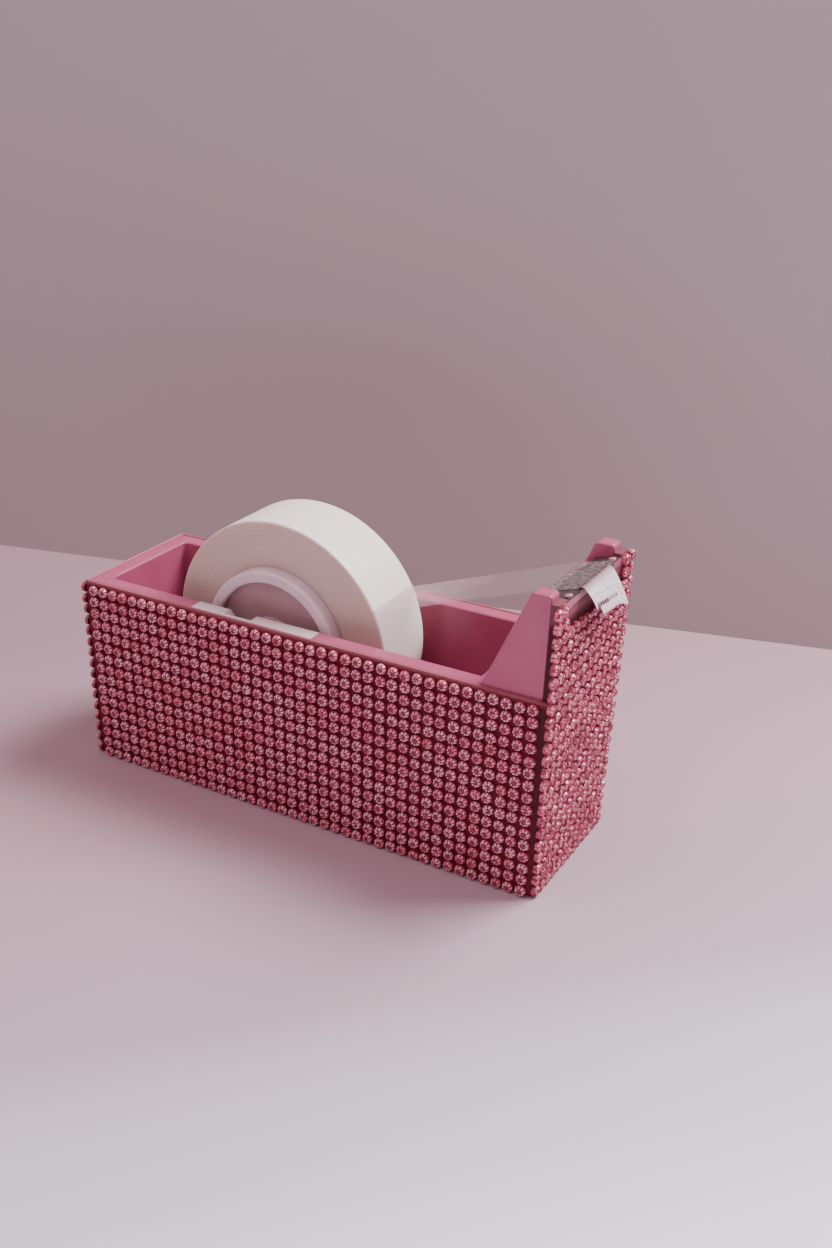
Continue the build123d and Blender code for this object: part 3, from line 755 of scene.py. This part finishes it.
def tail_rows():
    """Grid under the loose end: over the teeth, then hanging in front of them."""
    fold = 5
    steps = 76
    root = blade_length() - TOOTH_DEPTH
    rows = [[] for step in range(fold + steps)]
    for y in across(150, tail_low.y, tail_high.y):
        fold_x, fold_z = tail_point(TAIL_START, y)
        lip = 0.35 * (1 - tooth_wave(y))
        land_x, land_z = blade_top(root - 0.5 + lip, 0.36)
        for step in range(fold):
            share = step / fold
            x = land_x + (fold_x - land_x) * share
            z = land_z + (fold_z - land_z) * share + 0.1 * math.sin(math.pi * share)
            rows[step].append(((x, y, z), (-math.sin(BLADE_TILT), 0, math.cos(BLADE_TILT))))
        stop = tail_end_angle(y)
        for step in range(steps):
            angle = TAIL_START + (stop - TAIL_START) * step / (steps - 1)
            x, z = tail_point(angle, y)
            rows[fold + step].append(((x, y, z), (math.cos(angle), 0, math.sin(angle))))
    return rows


def tooth_mark(angle, y):
    """Darkness of the rows of pricked tooth marks on the loose end."""
    # each row: (degrees, y) at its near end and at its far one, darkness, size of a mark
    rows = (
        ((44.9, -5.0), (38.1, 6.2), 0.4, 0.18),
        ((37.6, -5.9), (31.2, 5.9), 0.5, 0.18),
        ((28.3, -6.6), (25.9, -1.4), 2.0, 0.32),
        ((26.0, -1.0), (24.3, 3.2), 1.3, 0.26),
    )
    mark = 0.0
    for (near_angle, low), (far_angle, high), depth, size in rows:
        if not low - 0.3 < y < high + 0.3:
            continue
        here = near_angle + (far_angle - near_angle) * (y - low) / (high - low)
        off_row = (math.degrees(angle) - here) * math.radians(TAIL_R)
        off_tooth = ((y / TOOTH_PITCH) % 1.0 - 0.5) * TOOTH_PITCH
        reach = math.hypot(off_row, off_tooth)
        if reach < 2.2 * size:
            mark = max(mark, depth * (1 - reach / (2.2 * size)))
    fold_grey = 0.45 * max(0.0, (math.degrees(angle) - 42) / 6)
    return max(mark, fold_grey)


def add_tail(material):
    """Loose end of the tape in front of the cutter."""
    piece = sheet_piece("torn_tape_end", tail_rows(), SHEET)
    attribute = piece.data.attributes.new("mark", "FLOAT", "POINT")
    marks = []
    for vertex in piece.data.vertices:
        x = vertex.co.x / MM - TAIL_CENTRE_X
        z = vertex.co.z / MM - TAIL_CENTRE_Z
        marks.append(tooth_mark(math.atan2(z, x), vertex.co.y / MM))
    attribute.data.foreach_set("value", marks)
    paint(piece, material)
    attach(piece, "base")
    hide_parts("tape_tail")


# ---- Finishes of the CAD nodes ----
def paint_frame():
    """Procedural materials for every CAD node that stays in view."""
    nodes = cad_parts
    # the films' bare colours differ per face as painted light; the rear's bare strip is painted lightest, a
    # painted highlight along its top edge
    side_film = film_finish("side_film", RIM_Z - 1.0, srgb(132, 62, 76), srgb(156, 88, 98))
    rear_film = film_finish("rear_film", RIM_Z - 1.0, srgb(172, 92, 118), srgb(190, 108, 134))
    front_film = film_finish("front_film", 70.6, srgb(124, 70, 80), srgb(150, 96, 104))
    hub = white_plastic_finish("hub_white", srgb(226, 206, 212), srgb(216, 194, 201), 0.42)
    cap = white_plastic_finish("cap_grey", srgb(178, 146, 150), srgb(168, 136, 141), 0.5)
    insert = white_plastic_finish("insert_milky", srgb(226, 206, 208), srgb(216, 194, 197), 0.38)
    core = white_plastic_finish("core_white", srgb(226, 218, 214), srgb(216, 207, 203), 0.5)
    blade = steel_finish("blade_steel_look", srgb(150, 136, 134), srgb(96, 84, 84), 0.42, (1, 8, 1))
    dark_steel = steel_finish("ballast_look", srgb(120, 116, 114), srgb(82, 78, 76), 0.5, (6, 1, 1))
    pin = dull_finish("pin_look", srgb(184, 138, 146), srgb(150, 106, 116), 0.4, 0.5)
    screw = steel_finish("screw_look", srgb(206, 202, 198), srgb(160, 156, 152), 0.3, (1, 1, 4))
    cover = dull_finish("cover_look", srgb(224, 128, 164), srgb(214, 116, 152), 0.5, 0.6)
    rubber = dull_finish("foot_rubber_look", srgb(66, 60, 62), srgb(48, 44, 46), 0.75, 0.4)
    looks = {
        "body_shell": shell_finish(),
        "base_cover": cover,
        "base_ballast": dark_steel,
        "post_ballast": dark_steel,
        "cover_screws": screw,
        "rubber_feet": rubber,
        "bearing_insert_near": insert,
        "bearing_insert_far": insert,
        "axle_pin": hub,
        "hub_half_near": hub,
        "hub_half_far": hub,
        "hub_cap_near": cap,
        "hub_cap_far": cap,
        "tape_core": core,
        "cutter_blade": blade,
        "blade_pins": pin,
        "near_panel_film": side_film,
        "far_panel_film": side_film,
        "rear_panel_film": rear_film,
        "front_panel_film": front_film,
    }
    for name, material in looks.items():
        paint(nodes[name], material)


# ---- Stage, light and camera ----
def stage_plane(name, corners, material):
    """Flat sheet through four corners, not part of the object."""
    piece = make_piece(name, corners, [(0, 1, 2, 3)])
    paint(piece, material)
    return piece


def add_stage():
    """Pale floor and mauve backdrop."""
    reach = 1500.0
    floor = [(-reach, -reach, 0), (reach, -reach, 0), (reach, reach, 0), (-reach, reach, 0)]
    stage_plane("floor", floor, floor_finish())
    along = Vector((math.cos(WALL_TURN), math.sin(WALL_TURN), 0))
    foot = WALL_GAP * Vector((-math.sin(WALL_TURN), math.cos(WALL_TURN), 0))
    top = Vector((0, 0, 320.0))
    left = foot - 900 * along
    right = foot + 420 * along
    backdrop = stage_plane("backdrop", [left, right, right + top, left + top], wall_finish())
    backdrop.visible_shadow = False


def add_area_light(name, place, aim, size, power, colour):
    """Square soft light."""
    data = bpy.data.lights.new(name, "AREA")
    data.shape = "SQUARE"
    data.size = size * MM
    data.energy = power
    data.color = colour
    light = bpy.data.objects.new(name, data)
    bpy.context.scene.collection.objects.link(light)
    light.location = Vector(place) * MM
    light.rotation_euler = (Vector(aim) - Vector(place)).to_track_quat("-Z", "Y").to_euler()


def add_light():
    """Soft window light from behind on the right, and a dim pinkish surround."""
    add_area_light("window", (400, 400, 800), (10, 0, 30), 460, 17.5, (1.0, 0.99, 0.985))
    add_area_light("overhead", (-200, -350, 800), (0, 0, 0), 900, 3.8, (1.0, 0.88, 0.92))
    world = bpy.data.worlds.new("surround")
    world.use_nodes = True
    background = world.node_tree.nodes["Background"]
    background.inputs["Color"].default_value = srgb(206, 168, 180)
    background.inputs["Strength"].default_value = 0.72
    bpy.context.scene.world = world


def add_camera():
    """Camera at the photographed view."""
    azimuth, elevation, roll = CAMERA_AZIMUTH, CAMERA_ELEVATION, CAMERA_ROLL
    flat = math.cos(elevation)
    back = Vector((math.sin(azimuth) * flat, -math.cos(azimuth) * flat, math.sin(elevation)))
    right = (-back).cross(Vector((0, 0, 1))).normalized()
    up = right.cross(-back)
    right, up = math.cos(roll) * right + math.sin(roll) * up, math.cos(roll) * up - math.sin(roll) * right
    data = bpy.data.cameras.new("camera")
    data.lens = CAMERA_LENS
    data.sensor_width = 36.0
    camera = bpy.data.objects.new("camera", data)
    bpy.context.scene.collection.objects.link(camera)
    place = (Vector(CAMERA_AIM) + CAMERA_DISTANCE * back) * MM
    camera.matrix_world = Matrix.Translation(place) @ Matrix((right, up, back)).transposed().to_4x4()
    data.clip_start = 0.01
    bpy.context.scene.camera = camera


add_camera()
add_stage()
add_light()
paint_frame()
add_stones(stone_finish())
add_roll(roll_finish())
add_strip(clear_tape_finish("clear_tape", 0.05, 0.24, srgb(226, 200, 208), srgb(206, 176, 187), 3.0))
add_landed_tape(clear_tape_finish("pressed_tape", 0.5, 0.5, srgb(164, 146, 147), srgb(60, 46, 47), 0.4))
add_tail(torn_tape_finish())
